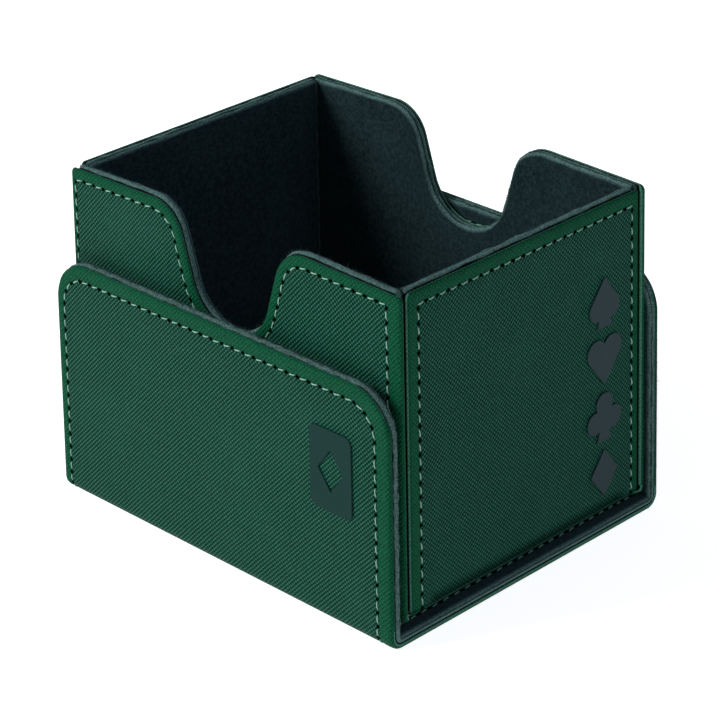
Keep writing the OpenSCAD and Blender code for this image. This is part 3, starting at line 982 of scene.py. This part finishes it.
# Lid panel on the table.
under_track = Track().line((-FOLD_Y, 0), (FOLD_Y, 0), (0, 1), FINE_STEP)
over_track = Track().line((-FOLD_Y, PANEL_T), (FOLD_Y, PANEL_T), (0, -1), FINE_STEP)
lid_thread = Thread(31)
for track, edge, material, word, node, slot, rows, share in (
    (under_track, COVER_EDGE, WOVEN, "lid_cloth", "lid_cover", "woven_cover", FLAP_ROWS, LID_SEAM),
    (over_track, LINING_STITCHED_EDGE, LINING, "lid_lining_cloth", "lid_lining", "lining",
     LID_LINING_ROWS, LID_LINING_SHARE),
):
    cloth = Sheet()
    strip(cloth, LID_HALF_W, edge, track, 0.0, True, rows, (share, share))
    piece = cloth.make(word, material, TUCK)
    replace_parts(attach(piece, "lid_panel"), node)
    for side in (-1, 1):
        lid_thread.edge_row(side, track, LID_HALF_W, rows)
piece = lid_thread.make("lid_thread", THREAD, HOLE_SHADE, TUCK)
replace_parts(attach(piece, "lid_panel"), "lid_stitching")

# Flaps, and the folds that join them to the lid panel.
for side, word in ((-1, "front"), (1, "back")):
    flap_body = f"{word}_flap"
    flap_thread = Thread(41 + side)
    fold_thread = Thread(51 + side)
    start = leaned((0, side * FOLD_Y, 0), TUCK) * MM
    end = leaned((0, side * FLAP_Y, LID_FOLD_R), TUCK) * MM
    turn_from, turn_to = (270, 180) if side < 0 else (270, 360)
    bend_y = FLAP_Y - FOLD_BEND_R
    for edge, material, place, radius, inward, names, shares, uneven, shade, still in (
        (COVER_EDGE, WOVEN, outer_side(side, FLAP_Y), FOLD_BEND_R, 1,
         ("cloth", "cover", "woven_cover"),
         (SEAM, FLAP_SHARE, LID_SEAM), 0.0, FLAP_SHADE, COVER_STILL),
        (LINING_STITCHED_EDGE, LINING, inner_side(side, FLAP_Y - PANEL_T), FOLD_BEND_R - PANEL_T, -1,
         ("lining_cloth", "lining", "lining"),
         (1, FLAP_LINING_SHARE, LID_LINING_SHARE), FUZZ, 0.0, LINING_STILL),
    ):
        tail, node_tail, slot = names
        top_share, side_share, lid_share = shares
        seam = upright_seam(LID_HALF_W, top_share, side_share)
        cloth = Sheet()
        cloth.panel(flap_fine, edge, place, True, 7 + side, seam, uneven, shade=shade)
        if material is LINING:
            cloth.fluff(flap_fine, edge, place, WALL_FIBRES, 81 + side)
        piece = cloth.make(f"{word}_flap_{tail}", material, TUCK)
        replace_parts(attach(piece, flap_body), f"{word}_flap_{node_tail}")
        flap_thread.row(flap_fine(STITCH_INSET), place)
        under, beside = FOLD_BEND_R - radius, side * (bend_y + radius)
        track = (
            Track()
            .line((side * FOLD_Y, under), (side * bend_y, under), (0, inward), FINE_STEP)
            .bend((side * bend_y, FOLD_BEND_R), radius, turn_from, turn_to, LID_FOLD_STEPS, side=inward)
            .line((beside, FOLD_BEND_R), (beside, LID_FOLD_R), (-side * inward, 0), FINE_STEP)
        )
        cloth = Sheet()
        strip(cloth, LID_HALF_W, edge, track, FOLD_WEAVE_START, True, FLAP_ROWS, (lid_share, side_share))
        piece = cloth.make(f"{word}_fold_{tail}", material, TUCK)
        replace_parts(piece, f"{word}_fold_{node_tail}")
        start.lerp(end, still)
        end.lerp(start, still)
        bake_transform(piece)
        if material is WOVEN:
            for edge_side in (-1, 1):
                fold_thread.edge_row(edge_side, track, LID_HALF_W, FLAP_ROWS)
    piece = flap_thread.make(f"{word}_flap_thread", THREAD, HOLE_SHADE, TUCK)
    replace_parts(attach(piece, flap_body), f"{word}_flap_stitching")
    piece = fold_thread.make(f"{word}_fold_thread", THREAD, HOLE_SHADE, TUCK)
    start.lerp(end, COVER_STILL)
    end.lerp(start, COVER_STILL)
    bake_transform(piece)


# ---- emblems, boards and magnets: the CAD shapes, leaned with the cloth around them ----

def copied(node, name, material, soft_edge=0.0, shift=(0, 0, 0)):
    """A copy of a CAD node that leans as the cloth does, its sharp edges rounded by soft_edge."""
    body = frame["nodes"][node]["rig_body"]
    tuck = 0.0 if body == "box" else TUCK
    mesh = frame["nodes"][node].data.copy()
    mesh.name = name
    shape = bmesh.new()
    shape.from_mesh(mesh)
    bmesh.ops.remove_doubles(shape, verts=shape.verts, dist=2e-6)
    bmesh.ops.dissolve_limit(shape, angle_limit=0.02, verts=shape.verts, edges=shape.edges)
    if soft_edge:
        rim = [e for e in shape.edges if e.is_manifold and e.calc_face_angle() > 0.9]
        bmesh.ops.bevel(
            shape, geom=rim, offset=soft_edge * MM, segments=2, affect="EDGES", clamp_overlap=True)
    for vert in shape.verts:
        vert.co = leaned(vert.co / MM + Vector(shift), tuck) * MM
    shape.to_mesh(mesh)
    shape.free()
    mesh.materials.clear()
    mesh.materials.append(material)
    piece = bpy.data.objects.new(name, mesh)
    bpy.context.collection.objects.link(piece)
    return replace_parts(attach(piece, body), node)


copied("side_emblem", "side_emblem_print", PRINT, EMBLEM_EDGE_R, EMBLEM_SHIFT)
copied("flap_emblem", "flap_emblem_print", RUBBER, EMBLEM_EDGE_R)
for node in sorted(frame["nodes"]):
    if node.endswith("_board"):
        copied(node, node + "_core", BOARD)
    elif node.endswith("_magnets"):
        copied(node, node[:-1] + "_discs", STEEL)


# ---- floor, light and camera ----

def floor():
    """A wide pale floor that glows, so that it stays nearly white."""
    mesh = bpy.data.meshes.new("floor")
    far = 6.0
    mesh.from_pydata([(-far, -far, 0), (far, -far, 0), (far, far, 0), (-far, far, 0)], [], [(0, 1, 2, 3)])
    piece = bpy.data.objects.new("floor", mesh)
    bpy.context.collection.objects.link(piece)
    n = Nodes("pale_floor")
    fine = n.noise(n.place(), 0.2, 2)
    colour = n.mix(fine, (0.8, 0.8, 0.8, 1), (0.82, 0.82, 0.82, 1))
    mesh.materials.append(n.finish(
        Base_Color=colour, Roughness=0.9, Specular_IOR_Level=0.0,
        Emission_Color=(1, 1, 1, 1), Emission_Strength=0.8))


LIGHT_AIM = Vector((0, 0, 0.04))


def area_light(name, azimuth, elevation, distance, size, power, colour=(1, 1, 1)):
    """A round light that looks at the middle of the object."""
    data = bpy.data.lights.new(name, "AREA")
    data.shape = "DISK"
    data.size = size
    data.energy = power
    data.color = colour
    light = bpy.data.objects.new(name, data)
    a, e = math.radians(azimuth), math.radians(elevation)
    away = Vector((math.cos(e) * math.cos(a), math.cos(e) * math.sin(a), math.sin(e)))
    light.location = LIGHT_AIM + away * distance
    light.rotation_euler = away.to_track_quat("Z", "Y").to_euler()
    bpy.context.collection.objects.link(light)


def camera():
    """The main view, turned by a small roll about its own axis."""
    azimuth, elevation, roll = math.radians(-44.80), math.radians(26.28), math.radians(-1.11)
    aim, distance = Vector((0, 0, 0.03905)), 0.6568
    back = Vector((
        math.cos(elevation) * math.cos(azimuth), math.cos(elevation) * math.sin(azimuth),
        math.sin(elevation)))
    right = Vector((-math.sin(azimuth), math.cos(azimuth), 0))
    up = back.cross(right)
    rolled = right * math.cos(roll) + up * math.sin(roll)
    up = up * math.cos(roll) - right * math.sin(roll)
    data = bpy.data.cameras.new("camera")
    data.lens = 143.34
    data.shift_x = 0.00283
    data.shift_y = -0.01972
    shot = bpy.data.objects.new("camera", data)
    turned = Matrix((rolled, up, back)).transposed().to_4x4()
    shot.matrix_world = Matrix.Translation(aim + back * distance) @ turned
    bpy.context.collection.objects.link(shot)
    bpy.context.scene.camera = shot


floor()
area_light("key_light", -128, 34, 1.6, 0.8, 29)
area_light("right_light", 0, 40, 2.0, 1.2, 7, (0.78, 0.85, 1.0))
world = bpy.data.worlds.new("studio")
world.use_nodes = True
background = world.node_tree.nodes["Background"]
background.inputs["Color"].default_value = (0.82, 0.84, 1, 1)
background.inputs["Strength"].default_value = 0.22
bpy.context.scene.world = world
bpy.context.scene.view_settings.view_transform = "Standard"
camera()
